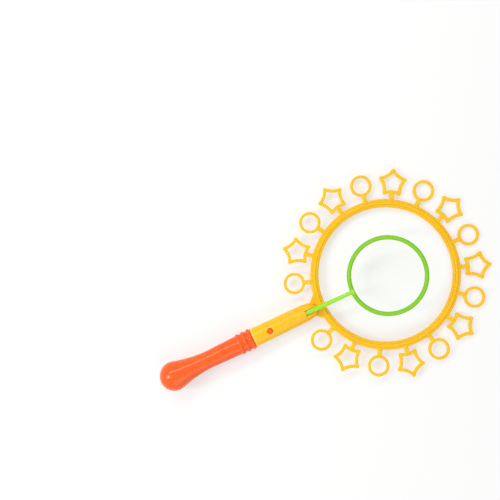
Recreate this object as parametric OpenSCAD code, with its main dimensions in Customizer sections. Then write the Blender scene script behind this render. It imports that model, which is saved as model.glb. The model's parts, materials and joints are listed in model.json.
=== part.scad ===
// Bubble wand. A big ring, set round with small circle and star loops, sits on a tubular neck.
// The neck plugs over the spigot of a hollow handle and is locked there by a snap button.
// A small ring on a stem plugs into the nose of the neck and rises over the big ring.
// Millimetres. X runs along the wand from the handle to the far loop, Z is square to the big ring.
// The origin is the middle of the far circle loop, by which the wand hangs.

/* [Handle] */
// Length from the end of the bulb to the mouth of the neck
handle_length = 123; // [112:1:150]
// Radius of the bulb
bulb_r = 17.8; // [16:0.1:20]
// Distance from the middle of the bulb to the waist
waist_reach = 48; // [42:1:54]
// Radius of the handle at its waist
waist_r = 10.6; // [10:0.1:11.2]
// Radius of the collar between its ridges
collar_r = 11.5; // [11:0.1:12]
// Radius of the ridges at their crest
ridge_r = 12.9; // [12.3:0.1:13.5]
// Radius of the round on a ridge
ridge_round = 2.6; // [2:0.1:3]
// Distance from one ridge to the next
ridge_pitch = 7; // [6:0.1:8]
// Distance from the last ridge to the mouth of the neck
ridge_setback = 3.2; // [3:0.1:5]
// Wall of the handle shells
shell_wall = 2; // [1.6:0.1:2.4]
// Radius of the pins that line up the two shells
pin_r = 1.4; // [1:0.1:1.6]
// How far each pin stands into the lower shell
pin_reach = 4; // [3:0.1:6]

/* [Spigot and snap button] */
// Length of the spigot inside the neck
spigot_length = 42; // [38:1:46]
// Wall of the spigot
spigot_wall = 2; // [1.6:0.1:2.4]
// Distance from the mouth of the neck to the middle of the button
button_setback = 21.6; // [18:0.1:24]
// Radius of the button
button_r = 3.3; // [2.8:0.1:3.6]
// How far the button stands out of the neck
button_proud = 0.7; // [0.4:0.1:1.2]
// Height of the button's domed top
button_dome = 0.9; // [0.5:0.1:1.2]
// Distance from the mouth of the neck to the root of the tongue
tongue_setback = 3.7; // [3:0.1:5]
// Length of the tongue past the middle of the button
tongue_tip = 7.2; // [5:0.1:9]
// Width of the tongue
tongue_w = 8.4; // [7.4:0.1:9.4]

/* [Neck] */
// Length of the neck from its mouth to the web of the ring
neck_length = 84.3; // [78:0.1:92]
// Radius of the neck at its mouth
mouth_r = 11.25; // [11:0.05:11.8]
// Radius of the neck where the nose starts
neck_r = 10.8; // [10.6:0.05:11.4]
// Length of the blunt nose
nose_length = 27.5; // [25:0.5:30]
// Radius of the bead round the mouth
lip_round = 1; // [0.7:0.1:1.2]
// Radius of the bore that takes the spigot
neck_bore_r = 9.4; // [9:0.05:9.6]
// Wall of the hollow nose where it starts
nose_wall = 2.5; // [2.2:0.1:2.8]
// Height of the socket's mouth over the middle of the neck
socket_rise = 7.4; // [6.8:0.1:7.8]
// Distance from the web back to the socket's mouth
socket_setback = 15; // [13:0.5:17]
// Wall of the boss round the socket
socket_wall = 2; // [1.6:0.1:2.4]
// Length of the housing that rises out of the neck behind the socket's mouth
housing_length = 20; // [17:0.5:23]
// Wall of the housing at the socket's mouth
housing_wall = 1.4; // [1.2:0.1:1.8]

/* [Big ring] */
// Radius of the ring at the middle of its bar
ring_mid_r = 85.5; // [75:0.5:100]
// Width of the ring's bar
ring_w = 9.8; // [8:0.1:12]
// Height of the ring's bar at its edges
band_h = 4.4; // [3.6:0.1:5]
// Width of the rib along the middle of the bar
rib_w = 3.4; // [2.4:0.1:4.4]
// Height of the bar over the rib
rib_h = 7; // [6:0.1:9]
// Width of the web where it meets the ring
web_w = 32; // [28:0.5:36]

/* [Loops] */
// Gap between the ring and a circle loop
link_length = 6.7; // [5.5:0.1:10]
// Width of the link that carries a loop
link_w = 5; // [4:0.1:6]
// Height of the link
link_h = 4.8; // [4.2:0.1:5.4]
// Height of the loops
loop_h = 4; // [3:0.1:4.6]
// Radius of the hole in a circle loop
circle_hole_r = 9.5; // [8:0.1:11]
// Width of a circle loop's bar
circle_bar = 3.4; // [2.8:0.1:4]
// Radius from the middle of a star to the middle of its bar at a tip
star_tip_r = 15.5; // [14:0.1:17]
// Radius from the middle of a star to the middle of its bar between tips
star_valley_r = 10.6; // [9.6:0.1:11.4]
// Width of a star loop's bar
star_bar = 3.8; // [3:0.1:4.2]

/* [Small wand] */
// Slope of the small wand over the big ring, in degrees
stem_pitch = 10; // [8:0.5:12]
// Length of the stem between the nose and the small ring
stem_length = 58.5; // [50:0.5:64]
// Radius of the stem at its root
stem_root_r = 3; // [2.8:0.05:3.2]
// Radius of the stem at the small ring
stem_end_r = 2.4; // [2:0.05:2.8]
// How deep the root of the stem sits in the nose
stem_seat = 5; // [4:0.1:6]
// Radius of the peg
peg_r = 2.5; // [2.2:0.05:2.6]
// Length of the peg
peg_length = 18; // [14:0.5:20]
// Radius of the small ring at the middle of its bar
small_ring_r = 45; // [36:0.1:50]
// Width of the small ring's bar
small_bar_w = 5.2; // [4.4:0.1:6]
// Height of the small ring's bar
small_bar_h = 6.4; // [5.4:0.1:7.4]

/* [Fits] */
// Gap all round between the spigot and the neck
spigot_gap = 0.1; // [0.05:0.01:0.2]
// Gap round the snap tongue
tongue_gap = 0.35; // [0.3:0.05:0.5]
// Gap all round between the button and its hole
button_gap = 0.45; // [0.4:0.05:0.6]
// Gap all round between the peg and its socket
peg_gap = 0.06; // [0.04:0.01:0.1]
// Gap all round between the stem's root and its seat
stem_gap = 0.2; // [0.15:0.05:0.3]
// Gap all round between a shell's pin and its hole
pin_gap = 0.1; // [0.05:0.01:0.15]

/* [Hidden] */
$fn = 64;
orange = "#FB6B30";
yellow = "#FCC31F";
green = "#86D51F";

// The ring has a place every 20 degrees. The neck takes place 0, then circles and stars take turns.
places = 18;
circle_count = 9;
star_count = 8;

// Places along the wand, measured from the middle of the big ring
ring_outer_r = ring_mid_r + ring_w / 2;
root_stub = 1.1;
root_x = ring_outer_r + root_stub;
circle_mid_r = circle_hole_r + circle_bar / 2;
loop_circle_r = ring_outer_r + link_length + circle_hole_r + circle_bar;
mouth_x = -root_x - neck_length;
nose_x = -root_x - nose_length;
bulb_x = mouth_x - handle_length + bulb_r;
waist_x = bulb_x + waist_reach;
ridge_xs = [for (i = [0:2]) mouth_x - ridge_setback - i * ridge_pitch];
collar_x = ridge_xs[2] - ridge_round;
button_x = mouth_x + button_setback;

// Radii that follow from a fit
spigot_r = neck_bore_r - spigot_gap;
spigot_bore_r = spigot_r - spigot_wall;
tongue_r = spigot_r - tongue_gap / 2;
cavity_r = neck_r - nose_wall;

// Rounds on the edges of the bars
edge_round = 1.1;
small_round = 0.48 * small_bar_w;
band_round = 0.45 * band_h;
rib_round = 0.45 * rib_w;
// Steps in a drawn curve
corner_steps = 4;
bulb_steps = 20;
flare_steps = 16;
// How far a solid runs on into the next one, so that the two are joined or cut cleanly
overlap = 1;

// Points on an arc, in the order of its angles
function arc(centre, r, from, to, steps) = [
    for (i = [0:steps]) let (a = from + (to - from) * i / steps)
        centre + r * [cos(a), sin(a)]
];

// Outline of a rectangle with round corners, about its own middle
function rounded(w, h, r) = [
    for (q = [0:3])
        let (sx = (q == 0 || q == 3) ? 1 : -1, sy = q < 2 ? 1 : -1)
        each arc([sx * (w / 2 - r), sy * (h / 2 - r)], r, q * 90, q * 90 + 90, corner_steps)
];

// Frame of the big ring: its middle is the zero, X still runs to the far loop
module at_ring() {
    translate([-loop_circle_r, 0, 0]) children();
}

// Frame of one place on the ring: X runs outwards through it
module at_place(place) {
    at_ring() rotate([0, 0, 180 + place * 360 / places]) children();
}

// Frame of the small wand: zero at the socket's mouth, X up along the stem
module at_stem() {
    at_ring()
    translate([-root_x - socket_setback, 0, socket_rise])
    rotate([0, -stem_pitch, 0]) children();
}

// Turns an outline of [radius, place along the wand] about the wand's axis
module turned() {
    at_ring() rotate([0, 90, 0]) rotate_extrude() children();
}

// A cylinder along X
module rod(r, from, to) {
    translate([from, 0, 0]) rotate([0, 90, 0]) cylinder(r = r, h = to - from);
}

// A straight bar along X with round edges
module bar(w, h, from, to) {
    translate([from, 0, 0])
    rotate([90, 0, 90])
    linear_extrude(height = to - from)
    polygon(rounded(w, h, edge_round));
}

// Handle

// Radius of the hollow flare that is tangent to the bulb and to the waist
flare_r = (pow(waist_reach, 2) + pow(waist_r, 2) - pow(bulb_r, 2)) / (2 * (bulb_r - waist_r));
// Angle at which the bulb passes into the flare, from the wand's axis
flare_angle = atan2(waist_r + flare_r, waist_reach);

// Outline of bulb, flare and shaft as [radius, place along the wand], drawn in by an inset
function handle_outline(inset) = concat(
    [for (p = arc([0, 0], bulb_r - inset, 180, flare_angle, bulb_steps)) [p.y, bulb_x + p.x]],
    [
        for (p = arc([waist_x, waist_r + flare_r], flare_r + inset, flare_angle - 180, -90, flare_steps))
            [p.y, p.x]
    ],
    [[collar_r - inset, collar_x], [collar_r - inset, mouth_x - inset], [0, mouth_x - inset]]
);

module handle_body() {
    turned() polygon(handle_outline(0));
    turned()
    intersection() {
        for (x = ridge_xs) translate([ridge_r - ridge_round, x]) circle(r = ridge_round);
        translate([0, collar_x - ridge_round]) square([2 * ridge_r, mouth_x - collar_x + ridge_round]);
    }
    at_ring() rod(spigot_r, mouth_x - overlap, mouth_x + spigot_length);
}

module handle_hollow() {
    turned() polygon(handle_outline(shell_wall));
    at_ring() rod(spigot_bore_r, mouth_x - shell_wall - overlap, mouth_x + spigot_length + overlap);
}

// Where the shells are pinned together, with the handle's radius there
pin_places = [[bulb_x, bulb_r], [waist_x, waist_r], [collar_x, collar_r]];
boss_wall = 1.6;
pin_boss_r = pin_r + pin_gap + boss_wall;
// Gap left under the end of a pin
pin_clear = 1;

// One half of the handle, the upper one, with a boss at each pin
module half_shell() {
    reach = handle_length + spigot_length + 2 * overlap;
    intersection() {
        difference() {
            handle_body();
            handle_hollow();
        }
        at_ring()
        translate([mouth_x - handle_length - overlap, -2 * bulb_r, 0])
        cube([reach, 4 * bulb_r, 2 * bulb_r]);
    }
    for (p = pin_places)
        at_ring() translate([p[0], 0, 0]) cylinder(r = pin_boss_r, h = p[1] - shell_wall / 2);
}

// Outline of the tongue seen from above, grown by a gap
module tongue_plan(gap) {
    at_ring()
    translate([mouth_x + tongue_setback - gap, -tongue_w / 2 - gap, 0])
    cube([button_setback - tongue_setback + tongue_tip + 2 * gap, tongue_w + 2 * gap, 2 * spigot_r]);
}

module handle_upper_shell() {
    color(orange) {
        difference() {
            half_shell();
            tongue_plan(tongue_gap);
        }
        for (p = pin_places)
            at_ring() translate([p[0], 0, -pin_reach]) cylinder(r = pin_r, h = pin_reach + overlap);
    }
}

module handle_lower_shell() {
    color(orange)
    difference() {
        mirror([0, 0, 1]) half_shell();
        for (p = pin_places)
            at_ring()
            translate([p[0], 0, -pin_reach - pin_clear])
            cylinder(r = pin_r + pin_gap, h = pin_reach + pin_clear + overlap);
    }
}

// Radius of the neck's outside over the button
neck_r_at_button = mouth_r + (neck_r - mouth_r) * button_setback / (neck_length - nose_length);
button_top = neck_r_at_button + button_proud;
button_dome_r = (pow(button_r, 2) + pow(button_dome, 2)) / (2 * button_dome);

// Springy tongue of the spigot with the button that locks the neck
module snap_tongue() {
    color(orange) {
        intersection() {
            at_ring()
            difference() {
                rod(tongue_r, mouth_x, mouth_x + spigot_length);
                rod(spigot_bore_r, mouth_x - overlap, mouth_x + spigot_length + overlap);
            }
            tongue_plan(0);
        }
        at_ring()
        translate([button_x, 0, 0])
        intersection() {
            translate([0, 0, spigot_bore_r]) cylinder(r = button_r, h = button_top - spigot_bore_r);
            translate([0, 0, button_top - button_dome_r]) sphere(r = button_dome_r, $fn = 96);
        }
    }
}

// Head

// Bluntness of the nose: its outline is a superellipse, these are the powers of its cosine and sine
nose_side_power = 0.5;
nose_end_power = 0.77;
nose_step = 6;

// Outline of the neck's outside as [radius, place along the wand]
function neck_outline() = concat(
    [[0, mouth_x], [mouth_r, mouth_x]],
    [
        for (a = [0:nose_step:90])
            [neck_r * pow(cos(a), nose_side_power), nose_x + nose_length * pow(sin(a), nose_end_power)]
    ]
);

// Half the width of the web where the neck ends, midway between the neck and the ring
web_half_w = (web_w / 2 + neck_r) / 2;
// How far the web runs back along the side of the nose, and in its middle
web_side_run = 4;
web_mid_run = nose_length / 2;
// Gap left at the end of the spigot
spigot_clear = 1;
// Half the nose is hollow
cavity_end_x = nose_x + nose_length / 2;

module neck_hollow() {
    at_ring() rod(neck_bore_r, mouth_x - overlap, mouth_x + spigot_length + spigot_clear);
    at_ring() rod(cavity_r, mouth_x, cavity_end_x);
}

// The peg's round has a flat below, so that the small ring stays level
module peg(r, flat, from, to) {
    difference() {
        rod(r, from, to);
        translate([from - overlap, -2 * r, -flat - 2 * r]) cube([to - from + 2 * overlap, 4 * r, 2 * r]);
    }
}

// Height of the peg's middle over its flat
peg_flat = 0.75 * peg_r;
peg_end = -stem_seat - peg_length;
// Gap left at the end of the peg
socket_clear = 0.5;

// The seat is closed behind the socket's mouth and open above in front of it
seat_r = stem_root_r + stem_gap;
seat_run = socket_setback + nose_length;

module socket() {
    at_stem() {
        rod(seat_r, -stem_seat - stem_gap, seat_run);
        translate([0, -seat_r, 0]) cube([seat_run, 2 * seat_r, 2 * neck_r]);
        peg(peg_r + peg_gap, peg_flat + peg_gap, peg_end - socket_clear, 0);
    }
}

// The housing starts level with the top of the neck and narrows to the socket's mouth
housing_start_z = socket_rise - housing_length * sin(stem_pitch);
housing_start_r = (neck_r - housing_start_z) * cos(stem_pitch);

module housing() {
    at_stem()
    translate([-housing_length, 0, 0])
    rotate([0, 90, 0])
    cylinder(r1 = housing_start_r, r2 = seat_r + housing_wall, h = housing_length);
}

module neck() {
    color(yellow)
    difference() {
        union() {
            turned() polygon(neck_outline());
            housing();
            turned() translate([mouth_r - lip_round / 2, mouth_x + lip_round]) circle(r = lip_round);
            at_ring()
            translate([0, 0, -band_h / 2])
            linear_extrude(height = band_h)
            polygon([
                [-root_x, -web_half_w],
                [-root_x, web_half_w],
                [-root_x - web_side_run, neck_r - edge_round],
                [-root_x - web_mid_run, 0],
                [-root_x - web_side_run, -neck_r + edge_round]
            ]);
        }
        difference() {
            neck_hollow();
            at_stem() rod(peg_r + peg_gap + socket_wall, peg_end - socket_wall, 0);
        }
        socket();
        at_ring() translate([button_x, 0, 0]) cylinder(r = button_r + button_gap, h = 2 * mouth_r);
    }
}

module ring() {
    color(yellow) {
        at_ring()
        rotate_extrude($fn = 180)
        translate([ring_mid_r, 0]) {
            polygon(rounded(ring_w, band_h, band_round));
            polygon(rounded(rib_w, rib_h, rib_round));
        }
        at_ring()
        translate([0, 0, -band_h / 2])
        linear_extrude(height = band_h)
        polygon([
            [-root_x, -web_half_w],
            [-root_x, web_half_w],
            [-ring_outer_r + 2 * root_stub, web_w / 2],
            [-ring_mid_r, web_w / 2],
            [-ring_mid_r, -web_w / 2],
            [-ring_outer_r + 2 * root_stub, -web_w / 2]
        ]);
        for (place = [1:places - 1])
            at_place(place) bar(link_w, link_h, ring_mid_r + rib_w / 2, root_x);
    }
}

// Links start at the ring's stubs and end in the middle of the loop's bar
module circle_loop(i) {
    color(yellow)
    at_place(2 * i - 1) {
        difference() {
            bar(link_w, link_h, root_x, loop_circle_r - circle_mid_r);
            translate([loop_circle_r, 0, -link_h]) cylinder(r = circle_hole_r + overlap, h = 2 * link_h);
        }
        translate([loop_circle_r, 0, 0])
        rotate_extrude()
        translate([circle_mid_r, 0])
        polygon(rounded(circle_bar, loop_h, edge_round));
    }
}

// Each side of a star is an arc that bows inwards between two tips
star_tips = 5;
half_side = 180 / star_tips;
side_sag = star_tip_r * cos(half_side) - star_valley_r;
side_half_w = star_tip_r * sin(half_side);
side_r = (pow(side_half_w, 2) + pow(side_sag, 2)) / (2 * side_sag);
// Angle of the arc from its middle, run on past the tips so that the sides can be mitred there
side_run_on = 8;
side_angle = asin(side_half_w / side_r) + side_run_on;
// Each tip is a round that is a little fuller than the bar
tip_swell = 0.25;
tip_r = star_bar / 2 + tip_swell;
// Where the mitred sides are cut off inside the tips
mitre_r = star_tip_r + star_bar / 6;

module star_side() {
    intersection() {
        translate([star_valley_r + side_r, 0, 0])
        rotate([0, 0, 180 - side_angle])
        rotate_extrude(angle = 2 * side_angle)
        translate([side_r, 0])
        polygon(rounded(star_bar, loop_h, edge_round));
        linear_extrude(height = 2 * loop_h, center = true)
        polygon([
            [0, 0],
            2 * star_tip_r * [cos(half_side), -sin(half_side)],
            2 * star_tip_r * [cos(half_side), sin(half_side)]
        ]);
    }
}

module star_tip() {
    translate([star_tip_r - tip_swell, 0, 0])
    rotate_extrude()
    intersection() {
        polygon(rounded(2 * tip_r, loop_h + tip_swell, edge_round));
        translate([0, -loop_h]) square([2 * tip_r, 2 * loop_h]);
    }
}

module star_loop(i) {
    color(yellow)
    at_place(2 * i) {
        bar(link_w, link_h, root_x, loop_circle_r - star_valley_r);
        translate([loop_circle_r, 0, 0]) {
            intersection() {
                for (t = [0:star_tips - 1]) rotate([0, 0, (2 * t + 1) * half_side]) star_side();
                cylinder(r = mitre_r, h = 2 * loop_h, center = true);
            }
            for (t = [0:star_tips - 1]) rotate([0, 0, 2 * t * half_side]) star_tip();
        }
    }
}

// Small wand

// The stem's end lies across the top of the small ring's bar
stem_over_ring = 1.4;
stem_cover = 0.85 * small_bar_w;
small_outer_r = small_ring_r + small_bar_w / 2;
small_ring_x = stem_length + small_outer_r;
stem_stub = 4;
stem_end_x = stem_length - stem_stub;

module small_ring() {
    color(green)
    at_stem() {
        translate([small_ring_x, 0, -stem_over_ring])
        rotate_extrude($fn = 128)
        translate([small_ring_r, 0])
        polygon(rounded(small_bar_w, small_bar_h, small_round));
        rod(stem_end_r, stem_end_x, stem_length + stem_cover);
    }
}

module stem() {
    color(green)
    at_stem() {
        translate([-stem_seat, 0, 0])
        rotate([0, 90, 0])
        cylinder(r1 = stem_root_r, r2 = stem_end_r, h = stem_seat + stem_end_x);
        peg(peg_r, peg_flat, peg_end, -stem_seat + overlap);
    }
}

handle_upper_shell();
handle_lower_shell();
snap_tongue();
neck();
ring();
for (i = [1:circle_count]) circle_loop(i);
for (i = [1:star_count]) star_loop(i);
small_ring();
stem();
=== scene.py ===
# %% [markdown]
# A bubble wand, moulded in three colours of plastic
#
# The wand is a toy for blowing bubbles: an orange handle, a yellow head with one big ring and many
# small loops, and a green ring on a stem that plugs into the head. The solids come from a packed
# model and are already the right shape, so this lesson is about the other half of the work: giving
# moulded plastic its look, laying the wand on a floor, and taking its picture from above.

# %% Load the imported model
import json
import math

import bpy
from mathutils import Matrix, Vector


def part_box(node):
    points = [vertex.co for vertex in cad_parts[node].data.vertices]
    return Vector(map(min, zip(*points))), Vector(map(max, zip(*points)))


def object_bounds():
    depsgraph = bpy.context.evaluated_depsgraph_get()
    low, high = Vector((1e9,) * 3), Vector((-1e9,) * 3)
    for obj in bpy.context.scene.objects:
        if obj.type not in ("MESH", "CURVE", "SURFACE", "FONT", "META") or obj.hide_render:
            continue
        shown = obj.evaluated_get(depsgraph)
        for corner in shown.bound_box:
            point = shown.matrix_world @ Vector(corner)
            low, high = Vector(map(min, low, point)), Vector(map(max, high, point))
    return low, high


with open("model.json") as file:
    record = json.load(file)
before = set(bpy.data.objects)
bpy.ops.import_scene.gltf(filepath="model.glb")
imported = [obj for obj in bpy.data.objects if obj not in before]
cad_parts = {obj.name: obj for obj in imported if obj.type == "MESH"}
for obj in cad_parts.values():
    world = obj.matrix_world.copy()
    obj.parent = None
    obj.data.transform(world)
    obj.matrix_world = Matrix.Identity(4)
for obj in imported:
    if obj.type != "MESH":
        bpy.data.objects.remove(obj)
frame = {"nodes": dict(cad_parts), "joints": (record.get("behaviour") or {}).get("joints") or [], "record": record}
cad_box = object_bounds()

scene = bpy.context.scene
MM = 0.001
print("size in mm:", [round(side / MM) for side in cad_box[1] - cad_box[0]])

# %% [markdown]
# Colours and nodes
#
# Colours are picked as sRGB hex values, the numbers that a picture editor shows, but a shader works
# on linear light, so one function converts them. A second function adds a shader node, sets its
# values and joins its inputs. With these two, a material reads as a short list of nodes.


# %% Two helpers for materials
def linear(hex_colour):
    """An sRGB hex colour as the linear red, green, blue and alpha that a shader takes."""
    parts = [int(hex_colour[i : i + 2], 16) / 255 for i in (1, 3, 5)]
    return [p / 12.92 if p <= 0.04045 else ((p + 0.055) / 1.055) ** 2.4 for p in parts] + [1.0]


def add_node(tree, kind, settings, links):
    """Adds a node. settings gives its options and input values, links the outputs its inputs take."""
    node = tree.nodes.new(kind)
    for name, value in settings.items():
        if isinstance(name, int) or name in node.inputs:
            node.inputs[name].default_value = value
        else:
            setattr(node, name, value)
    for name, output in links.items():
        tree.links.new(output, node.inputs[name])
    return node


# A mix node has inputs of the same name for each kind of value, so its colours go by number
MIX_A, MIX_B, MIX_RESULT = 6, 7, 2
print("mid grey in linear light:", round(linear("#808080")[0], 3))

# %% [markdown]
# Colour in the melt, and painted shade in grooves
#
# Outdoor toys like this are often polypropylene, coloured in the melt and shot into a mould. The
# colour goes right through, so it never chips, but it clouds a little where the melt swirled on its
# way. A noise about as large as those swirls mixes two near shades. Where hands and floors rub the
# sharp mould edges, plastic turns paler. The bevel node finds those edges: there its rounded normal
# leaves the true one, and the dot product of the two falls below one. Grooves get painted shade:
# the colour is made deeper there. The occlusion node finds the grooves.

# %% Clouded colour with paler edges and painted shade in grooves
# A pair gives where an effect starts and where it is full
SWIRL_SIZE = 18 * MM
SWIRL_NOISE = (0.35, 0.7)
EDGE_RADIUS = 0.35 * MM
EDGE_AGREEMENT = (0.99, 0.85)
EDGE_WEAR = 0.4
# Grooves are darkened as painted shade, where the occlusion node finds them
GROOVE_REACH = 2.5 * MM
GROOVE_OPENNESS = (0.92, 0.5)
GROOVE_PAINTED_SHADE = 0.9


def melt_colour_with_painted_shade(tree, place, edges, colour, swirl, rubbed, deep):
    """A colour output: colour clouded with swirl, rubbed on sharp edges, and darkened in grooves as painted shade.
    """
    swirls = add_node(
        tree,
        "ShaderNodeTexNoise",
        {"Scale": 1 / SWIRL_SIZE, "Detail": 3.0, "Roughness": 0.55, "Distortion": 0.8},
        {"Vector": place},
    )
    share = add_node(
        tree,
        "ShaderNodeMapRange",
        {"From Min": SWIRL_NOISE[0], "From Max": SWIRL_NOISE[1]},
        {"Value": swirls.outputs["Fac"]},
    )
    clouded = add_node(
        tree,
        "ShaderNodeMix",
        {"data_type": "RGBA", MIX_A: linear(colour), MIX_B: linear(swirl)},
        {"Factor": share.outputs["Result"]},
    )
    facing = add_node(tree, "ShaderNodeNewGeometry", {}, {})
    agreement = add_node(
        tree,
        "ShaderNodeVectorMath",
        {"operation": "DOT_PRODUCT"},
        {0: edges.outputs["Normal"], 1: facing.outputs["Normal"]},
    )
    wear = add_node(
        tree,
        "ShaderNodeMapRange",
        {"From Min": EDGE_AGREEMENT[0], "From Max": EDGE_AGREEMENT[1], "To Max": EDGE_WEAR},
        {"Value": agreement.outputs["Value"]},
    )
    worn = add_node(
        tree,
        "ShaderNodeMix",
        {"data_type": "RGBA", MIX_B: linear(rubbed)},
        {"Factor": wear.outputs["Result"], MIX_A: clouded.outputs[MIX_RESULT]},
    )
    # Painted shade: the colour turns towards deep where the occlusion node finds a groove
    openness = add_node(
        tree,
        "ShaderNodeAmbientOcclusion",
        {"samples": 8, "only_local": True, "Distance": GROOVE_REACH},
        {},
    )
    painted_shade_share = add_node(
        tree,
        "ShaderNodeMapRange",
        {"From Min": GROOVE_OPENNESS[0], "From Max": GROOVE_OPENNESS[1], "To Max": GROOVE_PAINTED_SHADE},
        {"Value": openness.outputs["AO"]},
    )
    painted_shade_in_grooves = add_node(
        tree,
        "ShaderNodeMix",
        {"data_type": "RGBA", MIX_B: linear(deep)},
        {"Factor": painted_shade_share.outputs["Result"], MIX_A: worn.outputs[MIX_RESULT]},
    )
    return painted_shade_in_grooves.outputs[MIX_RESULT]


print("swirls of", round(SWIRL_SIZE / MM), "mm, edges rounded by", round(EDGE_RADIUS / MM, 2), "mm")

# %% [markdown]
# Gloss with scuffs
#
# A polished mould leaves a soft gloss. Use makes it uneven: fine scratches and dried soap dull it in
# patches of a few millimetres. So the roughness follows a noise between a smooth and a scuffed value.

# %% Uneven gloss
SCUFF_SIZE = 5 * MM
SCUFF_NOISE = (0.4, 0.75)


def scuffed_gloss(tree, place, smooth, scuffed):
    """A roughness output that wanders between smooth and scuffed."""
    scuffs = add_node(
        tree,
        "ShaderNodeTexNoise",
        {"Scale": 1 / SCUFF_SIZE, "Detail": 5.0, "Roughness": 0.65},
        {"Vector": place},
    )
    gloss = add_node(
        tree,
        "ShaderNodeMapRange",
        {
            "From Min": SCUFF_NOISE[0],
            "From Max": SCUFF_NOISE[1],
            "To Min": smooth,
            "To Max": scuffed,
        },
        {"Value": scuffs.outputs["Fac"]},
    )
    return gloss.outputs["Result"]


print("scuffs of", round(SCUFF_SIZE / MM), "mm")

# %% [markdown]
# Skin and parting line
#
# Plastic shrinks as it sets, which leaves a faint orange peel of a millimetre or two. And every
# moulding has a parting line, a hair of flash where the two halves of the mould met. Both are far
# too slight to model as shape, so they are heights, in metres, for a bump node. The real line is
# about 0.1 mm wide. Here it is drawn 0.5 mm wide, because a finer one would not show.

# %% Heights of the skin
PEEL_SIZE = 1.6 * MM
PEEL_DEPTH = 0.02 * MM
PARTING_HALF_WIDTH = 0.25 * MM
PARTING_HEIGHT = 0.06 * MM


def near(tree, measure, middle, full, none, peak):
    """An output that is peak where measure is up to full from middle, and falls to zero at none."""
    beyond = add_node(tree, "ShaderNodeMath", {"operation": "SUBTRACT", 1: middle}, {0: measure})
    distance = add_node(tree, "ShaderNodeMath", {"operation": "ABSOLUTE"}, {0: beyond.outputs[0]})
    nearness = add_node(
        tree,
        "ShaderNodeMapRange",
        {"From Min": full, "From Max": none, "To Min": peak, "To Max": 0.0},
        {"Value": distance.outputs[0]},
    )
    return nearness.outputs["Result"]


def moulded_skin(tree, place, edges, parting_normal, parting_offset):
    """A normal output: orange peel, and a parting line where the plane of the mould cuts the piece."""
    peel = add_node(
        tree,
        "ShaderNodeTexNoise",
        {"Scale": 1 / PEEL_SIZE, "Detail": 1.0},
        {"Vector": place},
    )
    through = add_node(
        tree,
        "ShaderNodeVectorMath",
        {"operation": "DOT_PRODUCT", 1: parting_normal},
        {0: place},
    )
    depth = through.outputs["Value"]
    flash = near(tree, depth, parting_offset, 0.0, PARTING_HALF_WIDTH, PARTING_HEIGHT)
    height = add_node(
        tree,
        "ShaderNodeMath",
        {"operation": "MULTIPLY_ADD", 1: PEEL_DEPTH},
        {0: peel.outputs["Fac"], 2: flash},
    )
    skin = add_node(
        tree,
        "ShaderNodeBump",
        {"Strength": 1.0, "Distance": 1.0},
        {"Height": height.outputs[0], "Normal": edges.outputs["Normal"]},
    )
    return skin.outputs["Normal"]


print("orange peel of", round(PEEL_SIZE / MM, 1), "mm")

# %% [markdown]
# Moulded polypropylene
#
# Now the three parts make one recipe. Solid polypropylene has an IOR near 1.49. Scuffs and dried soap
# take some of the gloss away, so a little less is set, and about 3 % of the light comes straight
# back. The rest goes in, red about a millimetre deep and blue less far. This subsurface light softens
# thin bars and makes the shaded sides a deeper, redder colour.

# %% One recipe for the plastic
POLYPROPYLENE_IOR = 1.43
LIGHT_SHARE = 0.3
LIGHT_DEPTH = 0.9 * MM
RED_GREEN_BLUE_DEPTH = (1.0, 0.45, 0.15)


def moulded_polypropylene(name, shades, roughness, parting_normal, parting_offset):
    """Moulded polypropylene. shades go to melt_colour_with_painted_shade, roughness is smooth, scuffed."""
    material = bpy.data.materials.new(name)
    material.use_nodes = True
    tree = material.node_tree
    tree.nodes.clear()
    place = add_node(tree, "ShaderNodeTexCoord", {}, {}).outputs["Object"]
    edges = add_node(tree, "ShaderNodeBevel", {"samples": 6, "Radius": EDGE_RADIUS}, {})
    plastic = add_node(
        tree,
        "ShaderNodeBsdfPrincipled",
        {
            "IOR": POLYPROPYLENE_IOR,
            "Subsurface Weight": LIGHT_SHARE,
            "Subsurface Scale": LIGHT_DEPTH,
            "Subsurface Radius": RED_GREEN_BLUE_DEPTH,
        },
        {
            "Base Color": melt_colour_with_painted_shade(tree, place, edges, *shades),
            "Roughness": scuffed_gloss(tree, place, *roughness),
            "Normal": moulded_skin(tree, place, edges, parting_normal, parting_offset),
        },
    )
    add_node(tree, "ShaderNodeOutputMaterial", {}, {"Surface": plastic.outputs["BSDF"]})
    return material


print("gloss straight on:", round(((POLYPROPYLENE_IOR - 1) / (POLYPROPYLENE_IOR + 1)) ** 2, 3))

# %% [markdown]
# Three colours
#
# The handle looks the glossiest, as from a polished mould, and the head and the small wand a little
# duller. The head's small loops are a lighter yellow in the picture. They get a plastic of their own,
# the yellow painted lighter, as painted light for light that shines through thin plastic. Handle and
# head are taken to part at the plane of the big ring, and the small wand at the plane of its own ring,
# which slopes as its stem does. The stem slides out of its socket along a joint, so the joint's axis
# gives the slope, and the far half of the small ring gives the height.

# %% The small ring's plane
flat_up = Vector((0, 0, 1))
stem_axis = next(Vector(j["axis"]) for j in frame["joints"] if j["child"] == "small_wand")
small_up = Vector((-stem_axis.z, 0, stem_axis.x))
small_low, small_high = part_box("small_ring")
small_middle_x = (small_low.x + small_high.x) / 2
small_points = [v.co for v in frame["nodes"]["small_ring"].data.vertices]
heights = [p.dot(small_up) for p in small_points if p.x > small_middle_x]
small_plane = (min(heights) + max(heights)) / 2
print("small ring slopes by", round(math.degrees(math.atan2(stem_axis.z, stem_axis.x)), 1), "degrees")

# %% Mix the plastics
# Each has four shades: the colour, its swirls, its rubbed edges, and its painted shade in grooves
ORANGE = ("#FB6206", "#F65A00", "#FF8E58", "#CC3400")
YELLOW = ("#FFC400", "#FDBD00", "#FFD84E", "#FAB600")
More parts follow.
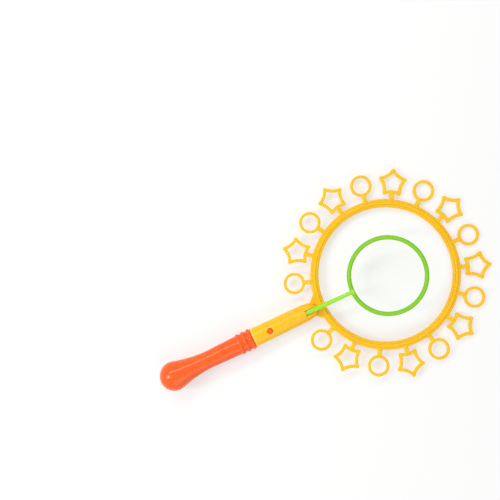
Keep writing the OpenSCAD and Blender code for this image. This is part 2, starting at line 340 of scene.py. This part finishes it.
# The loops' yellow is painted lighter, as painted light shining through thin plastic
PAINTED_LIT_YELLOW = ("#FFCB00", "#FEC500", "#FFDA54", "#FABD00")
GREEN = ("#80C804", "#76C000", "#AAEA50", "#52A000")
# Roughness where the skin is smooth, and where it is scuffed
GLOSSY = (0.12, 0.24)
SATIN = (0.2, 0.34)
DULL = (0.26, 0.4)

orange = moulded_polypropylene("orange_polypropylene", ORANGE, GLOSSY, flat_up, 0.0)
yellow = moulded_polypropylene("yellow_polypropylene", YELLOW, DULL, flat_up, 0.0)
green = moulded_polypropylene("green_polypropylene", GREEN, SATIN, small_up, small_plane)
# A lighter copy of the yellow for the loops: painted light
painted_lit_yellow = moulded_polypropylene("thin_yellow_polypropylene", PAINTED_LIT_YELLOW, DULL, flat_up, 0.0)
print("plastics:", [plastic.name for plastic in (orange, yellow, green, painted_lit_yellow)])

# %% [markdown]
# Painted highlights
#
# In the picture some places are paler than the plastic round them: the lip at the neck's mouth, the
# crest of each ring, and the stem of the small wand. These are painted highlights: a paler colour is
# mixed in where light catches the lip, the crests and the stem. A second material would end in a
# hard line, so the painted highlight is mixed into the plastic instead, and it fades out. Each place
# is bounded by a measure or two: the lip lies in a thin slice square to the wand, the stem in a slice
# along it that ends on the bar of the small ring, and a crest at one distance from its ring's axis.
# The cross product of a place with the axis is as long as that distance.

# %% A painted highlight that fades out, and a ring's axis
FADE = 0.4 * MM


def paint_highlight(plastic, pale, share, bounds):
    """Paints a highlight: mixes a share of a pale colour into a plastic where all bounds hold.

    A bound is a measure, its middle and its half width.
    """
    tree = plastic.node_tree
    colour = tree.nodes["Principled BSDF"].inputs["Base Color"]
    inside = [near(tree, measure, middle, half, half + FADE, 1.0) for measure, middle, half in bounds]
    amount = add_node(tree, "ShaderNodeMath", {"operation": "MULTIPLY", 1: share}, {0: inside[0]})
    for other in inside[1:]:
        factors = {0: amount.outputs[0], 1: other}
        amount = add_node(tree, "ShaderNodeMath", {"operation": "MULTIPLY"}, factors)
    mixed = add_node(
        tree,
        "ShaderNodeMix",
        {"data_type": "RGBA", MIX_B: linear(pale)},
        {"Factor": amount.outputs[0], MIX_A: colour.links[0].from_socket},
    )
    tree.links.new(mixed.outputs[MIX_RESULT], colour)


def measures(plastic):
    """The place output of a plastic, and its X, Y and Z outputs."""
    tree = plastic.node_tree
    place = add_node(tree, "ShaderNodeTexCoord", {}, {}).outputs["Object"]
    return place, add_node(tree, "ShaderNodeSeparateXYZ", {}, {"Vector": place}).outputs


def from_axis(tree, place, centre, axis):
    """An output: the distance from the line through centre along axis."""
    offset = add_node(
        tree,
        "ShaderNodeVectorMath",
        {"operation": "SUBTRACT", 1: centre},
        {0: place},
    )
    square = add_node(
        tree,
        "ShaderNodeVectorMath",
        {"operation": "CROSS_PRODUCT", 1: axis},
        {0: offset.outputs["Vector"]},
    )
    length = add_node(
        tree,
        "ShaderNodeVectorMath",
        {"operation": "LENGTH"},
        {0: square.outputs["Vector"]},
    )
    return length.outputs["Value"]


print("tints fade over", round(FADE / MM, 1), "mm")

# %% Lip and crest of the yellow head
# Painted highlights: the lip at the neck's mouth and the crest of the big ring are drawn paler
LIP_HIGHLIGHT = "#FFE25A"
LIP_SHARE = 0.85
LIP_HALF_WIDTH = 1.0 * MM
CREST_HIGHLIGHT = "#FFCA00"
CREST_SHARE = 0.7
CREST_HALF_WIDTH = 1.0 * MM
CREST_DEPTH = 0.05 * MM

place, xyz = measures(yellow)
lip_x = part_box("neck")[0].x + LIP_HALF_WIDTH
paint_highlight(yellow, LIP_HIGHLIGHT, LIP_SHARE, [(xyz["X"], lip_x, LIP_HALF_WIDTH)])

ring_low, ring_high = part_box("ring")
ring_middle = (ring_low + ring_high) / 2
ring_points = [v.co for v in frame["nodes"]["ring"].data.vertices]
highest = [p for p in ring_points if p.z > ring_high.z - CREST_DEPTH]
crest_r = sum((p - ring_middle).cross(flat_up).length for p in highest) / len(highest)
from_ring_axis = from_axis(yellow.node_tree, place, ring_middle, flat_up)
paint_highlight(yellow, CREST_HIGHLIGHT, CREST_SHARE, [(from_ring_axis, crest_r, CREST_HALF_WIDTH)])
print("lip at", round(lip_x / MM, 1), "mm, crest", round(crest_r / MM, 2), "mm from the ring's axis")

# %% Crest and stem of the green wand
# Painted highlights: the crest of the small ring and the stem are drawn paler
SMALL_CREST_HIGHLIGHT = "#88D40C"
SMALL_CREST_SHARE = 0.9
SMALL_CREST_HALF_WIDTH = 0.8 * MM
STEM_HIGHLIGHT = "#A6E828"
STEM_SHARE = 0.85
STEM_HALF_WIDTH = 2.6 * MM
STEM_ON_RING = 8.3 * MM

place, xyz = measures(green)
small_outer_r = (small_high.y - small_low.y) / 2
small_reach = max(p.dot(stem_axis) for p in small_points)
small_centre = stem_axis * (small_reach - small_outer_r) + small_up * small_plane
small_inner_r = min((p - small_centre).cross(small_up).length for p in small_points)
small_crest_r = (small_inner_r + small_outer_r) / 2
from_small_axis = from_axis(green.node_tree, place, small_centre, small_up)
small_crest = (from_small_axis, small_crest_r, SMALL_CREST_HALF_WIDTH)
paint_highlight(green, SMALL_CREST_HIGHLIGHT, SMALL_CREST_SHARE, [small_crest])

stem_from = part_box("stem")[0].x
stem_to = small_low.x + STEM_ON_RING
stem_ends = (xyz["X"], (stem_from + stem_to) / 2, (stem_to - stem_from) / 2)
paint_highlight(green, STEM_HIGHLIGHT, STEM_SHARE, [stem_ends, (xyz["Y"], 0.0, STEM_HALF_WIDTH)])
print("small crest", round(small_crest_r / MM, 2), "mm from its axis")
print("pale stem", round((stem_to - stem_from) / MM, 1), "mm long")

# %% [markdown]
# Which piece is which colour
#
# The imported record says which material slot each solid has, so the colours follow it, and the loops
# are told by their names. The solids keep their own meshes, and only their material is set.

# %% Give each solid its plastic
plastics = {"orange_plastic": orange, "yellow_plastic": yellow, "green_plastic": green}
slot_of = {part["node"]: part["material_slot"] for part in frame["record"]["subparts"]}
for name, piece in frame["nodes"].items():
    piece.data.materials.clear()
    # The loops get the yellow painted lighter, as painted light
    is_loop = name.startswith(("circle_loop", "star_loop"))
    piece.data.materials.append(painted_lit_yellow if is_loop else plastics[slot_of[name]])
print("coloured:", {slot: list(slot_of.values()).count(slot) for slot in plastics})

# %% [markdown]
# Laying the wand down
#
# On a flat floor the wand rests on the underside of its bulb and on the far side of the ring, which
# is thinner, so the whole wand slopes a little. The model stays as it is, and the floor slopes
# instead. The slope is the smallest one, seen from the bulb, to any low point of the head.

# %% Find the floor under the wand
shell_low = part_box("handle_lower_shell")[0]
bulb_r = -shell_low.z
bulb_x = shell_low.x + bulb_r
head_points = [v.co for name in ("ring", "circle_loop_5") for v in frame["nodes"][name].data.vertices]
slope = min((p.z + bulb_r) / (p.x - bulb_x) for p in head_points)
tilt = math.atan(slope)
along = Vector((math.cos(tilt), 0, math.sin(tilt)))
across = Vector((0, 1, 0))
up = Vector((-math.sin(tilt), 0, math.cos(tilt)))
floor_point = Vector((bulb_x, 0, 0)) - up * bulb_r
print("floor slopes by", round(math.degrees(tilt), 2), "degrees")

# %% [markdown]
# The floor
#
# A sheet of matt white paper, much larger than the wand. Paper is not quite even, so its white gets a
# faint fibre pattern of a few millimetres. It throws light back up, so that the sides of the bars are
# nearly as bright as their tops. In a shop's picture such paper is lightened to nearly pure white.
# Here it glows for the eye and in mirror images, which lightens the shadow but leaves the light on
# the wand as it is. Past the shadow the glow grows until the paper is as white as what lies behind
# it, so no view shows where the sheet ends.

# %% Roll out the paper floor
FLOOR_SIDE = 12.0

floor_mesh = bpy.data.meshes.new("paper_floor")
corners = [Vector((x, y, 0)) for x, y in ((-1, -1), (1, -1), (1, 1), (-1, 1))]
floor_mesh.from_pydata([FLOOR_SIDE / 2 * c for c in corners], [], [(0, 1, 2, 3)])
paper_floor = bpy.data.objects.new("paper_floor", floor_mesh)
turn = Matrix((along, across, up)).transposed().to_4x4()
paper_floor.matrix_world = Matrix.Translation(floor_point) @ turn
scene.collection.objects.link(paper_floor)
print("floor:", FLOOR_SIDE, "m square")

# %% Whiten the paper
FIBRE_SIZE = 4 * MM
PAPER_WHITES = ("#FAFAF9", "#F7F7F6")
PAPER_ROUGHNESS = 0.9
PAPER_SHINE = 0.2
PAPER_GLOW = 0.5
SHADOW_REACH = 0.6
WHITE_FROM = 1.2


def seen_directly(tree):
    """An output that is 1 for the eye, a mirror image or a view through glass, and 0 for other light."""
    path = add_node(tree, "ShaderNodeLightPath", {}, {})
    seen = path.outputs["Is Camera Ray"]
    for ray in ("Is Glossy Ray", "Is Transmission Ray"):
        either = {0: seen, 1: path.outputs[ray]}
        seen = add_node(tree, "ShaderNodeMath", {"operation": "MAXIMUM"}, either).outputs[0]
    return seen


paper = bpy.data.materials.new("matt_white_paper")
paper.use_nodes = True
sheets = paper.node_tree
sheets.nodes.clear()
paper_place = add_node(sheets, "ShaderNodeTexCoord", {}, {}).outputs["Object"]
fibres = add_node(
    sheets,
    "ShaderNodeTexNoise",
    {"Scale": 1 / FIBRE_SIZE, "Detail": 3.0},
    {"Vector": paper_place},
)
whites = add_node(
    sheets,
    "ShaderNodeMix",
    {"data_type": "RGBA", MIX_A: linear(PAPER_WHITES[0]), MIX_B: linear(PAPER_WHITES[1])},
    {"Factor": fibres.outputs["Fac"]},
)
sheet = add_node(
    sheets,
    "ShaderNodeBsdfPrincipled",
    {"Roughness": PAPER_ROUGHNESS, "Specular IOR Level": PAPER_SHINE},
    {"Base Color": whites.outputs[MIX_RESULT]},
)
from_bulb = add_node(sheets, "ShaderNodeVectorMath", {"operation": "LENGTH"}, {0: paper_place})
glow_here = add_node(
    sheets,
    "ShaderNodeMapRange",
    {"From Min": SHADOW_REACH, "From Max": WHITE_FROM, "To Min": PAPER_GLOW, "To Max": 1.0},
    {"Value": from_bulb.outputs["Value"]},
)
glow_share = add_node(
    sheets,
    "ShaderNodeMath",
    {"operation": "MULTIPLY"},
    {0: seen_directly(sheets), 1: glow_here.outputs["Result"]},
)
glow = add_node(sheets, "ShaderNodeEmission", {"Strength": 1.0}, {})
lightened = add_node(
    sheets,
    "ShaderNodeMixShader",
    {},
    {0: glow_share.outputs[0], 1: sheet.outputs["BSDF"], 2: glow.outputs["Emission"]},
)
add_node(sheets, "ShaderNodeOutputMaterial", {}, {"Surface": lightened.outputs["Shader"]})
floor_mesh.materials.append(paper)
print("paper: white from", WHITE_FROM, "m on, fibres of", round(FIBRE_SIZE / MM), "mm")

# %% [markdown]
# Light
#
# A product picture like this one is taken in a white tent: light comes from all round, with a long
# softbox to one side that draws a bright band along the handle. The world is the tent and gives
# nearly half of the light. The side and end softboxes are small for their power, so that their mirror
# images on the handle, the bulb and the ridges are bright. A third one, large, fills the far side.

# %% White tent
TENT_LIGHT = 0.54

tent = bpy.data.worlds.new("white_tent")
tent.use_nodes = True
walls = tent.node_tree
walls.nodes.clear()
brightness = add_node(
    walls,
    "ShaderNodeMapRange",
    {"To Min": TENT_LIGHT, "To Max": 1.0},
    {"Value": seen_directly(walls)},
)
cloth = add_node(
    walls,
    "ShaderNodeBackground",
    {"Color": linear("#FFFFFF")},
    {"Strength": brightness.outputs["Result"]},
)
add_node(walls, "ShaderNodeOutputWorld", {}, {"Surface": cloth.outputs["Background"]})
scene.world = tent
print("tent:", TENT_LIGHT, "of a full white")

# %% Three softboxes
wand_middle = (cad_box[0] + cad_box[1]) / 2


def softbox(name, sideways, lengthways, height, width, depth, watts):
    """A softbox over the wand: offsets and size in metres, aimed at the middle of the wand."""
    light = bpy.data.lights.new(name, "AREA")
    light.shape = "RECTANGLE"
    light.size = width
    light.size_y = depth
    light.energy = watts
    lamp = bpy.data.objects.new(name, light)
    lamp.location = wand_middle + across * sideways + along * lengthways + up * height
    lamp.rotation_mode = "QUATERNION"
    lamp.rotation_quaternion = (wand_middle - lamp.location).to_track_quat("-Z", "Y")
    lamp.visible_camera = False
    scene.collection.objects.link(lamp)
    print(name, [round(v, 2) for v in lamp.location])


softbox("side_softbox", sideways=0.8, lengthways=0.05, height=0.85, width=1.6, depth=0.24, watts=5.6)
softbox("end_softbox", sideways=0.25, lengthways=-0.75, height=0.7, width=0.2, depth=0.45, watts=3.4)
softbox("fill_softbox", sideways=-0.9, lengthways=0.0, height=0.7, width=1.2, depth=0.8, watts=3.2)

# %% [markdown]
# Camera
#
# The photograph is taken square to the big ring, with the wand rising to the right. The camera
# therefore looks along the ring's axis, and is turned until the wand has the right slant. Its place
# is worked out from the picture: where the ring's middle is, and how many millimetres a pixel spans.

# %% Set the camera
PICTURE_SIDE = 500
PIXEL = 1.2 * MM
RING_AT = (385.05, 273.9)
WAND_SLANT = math.radians(25.7)
CAMERA_HEIGHT = 0.95
SENSOR_WIDTH_MM = 36.0
NEAREST_SEEN = 0.05
FARTHEST_SEEN = 50.0
picture_middle = (PICTURE_SIDE - 1) / 2
right = Vector((math.cos(WAND_SLANT), -math.sin(WAND_SLANT), 0))
top = Vector((math.sin(WAND_SLANT), math.cos(WAND_SLANT), 0))
to_ring = right * (RING_AT[0] - picture_middle) + top * (picture_middle - RING_AT[1])
camera_place = ring_middle - to_ring * PIXEL + flat_up * CAMERA_HEIGHT

lens = bpy.data.cameras.new("overhead_camera")
lens.sensor_width = SENSOR_WIDTH_MM
lens.lens = SENSOR_WIDTH_MM * CAMERA_HEIGHT / (PICTURE_SIDE * PIXEL)
lens.clip_start = NEAREST_SEEN
lens.clip_end = FARTHEST_SEEN
camera = bpy.data.objects.new("overhead_camera", lens)
facing_down = Matrix((right, top, flat_up)).transposed().to_4x4()
camera.matrix_world = Matrix.Translation(camera_place) @ facing_down
scene.collection.objects.link(camera)
scene.camera = camera
scene.view_settings.view_transform = "Standard"
print("lens:", round(lens.lens, 1), "mm at", CAMERA_HEIGHT, "m")
